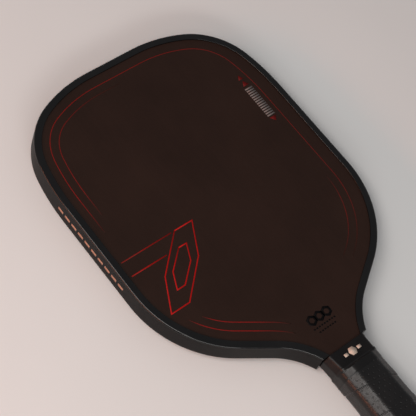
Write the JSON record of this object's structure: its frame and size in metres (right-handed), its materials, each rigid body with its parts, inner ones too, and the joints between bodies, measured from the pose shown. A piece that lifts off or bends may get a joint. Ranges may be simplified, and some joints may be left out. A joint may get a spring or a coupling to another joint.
{
  "type": "pickleball paddle",
  "caption": "Wide-body pickleball paddle with a squared oval head, black edge guard, carbon faces, wrapped octagonal handle and flared butt cap.",
  "frame": {"origin": "middle of the lowest level of the whole paddle's box, under the middle of its length, with the paddle lying on its back", "axes": "+Y along the paddle towards the end of the head, +X across the head, +Z out of the front face"},
  "size_m": [0.203, 0.4064, 0.034],
  "materials": {
    "carbon_face": "raw carbon with a fine peel-ply texture, matte",
    "honeycomb": "unpainted polypropylene",
    "edge_foam": "expanded foam",
    "handle_foam": "moulded foam",
    "guard_plastic": "black satin-gloss moulded plastic",
    "bonding_tape": "translucent adhesive film",
    "grip_leather": "black synthetic leather, perforated, slightly glossy",
    "finishing_tape": "black vinyl tape",
    "collar_rubber": "black rubber, smooth and glossy",
    "cap_plastic": "black satin moulded plastic",
    "badge_plastic": "grey gloss disc, blank",
    "staple_steel": "bright wire"
  },
  "bodies": {
    "root": {"front_face_sheet": "carbon_face", "back_face_sheet": "carbon_face", "honeycomb_core": "honeycomb", "edge_foam": "edge_foam", "handle_core": "handle_foam", "edge_guard": "guard_plastic", "edge_guard_tape": "bonding_tape", "front_handle_pallet": "handle_foam", "back_handle_pallet": "handle_foam", "grip_tape": "bonding_tape", "grip_wrap": "grip_leather", "grip_start_tack": "staple_steel", "finishing_tape": "finishing_tape", "throat_collar": "collar_rubber", "butt_cap": "cap_plastic", "butt_cap_badge": "badge_plastic", "butt_staple_1": "staple_steel", "butt_staple_2": "staple_steel", "butt_staple_3": "staple_steel", "butt_staple_4": "staple_steel"}
  },
  "joints": []
}
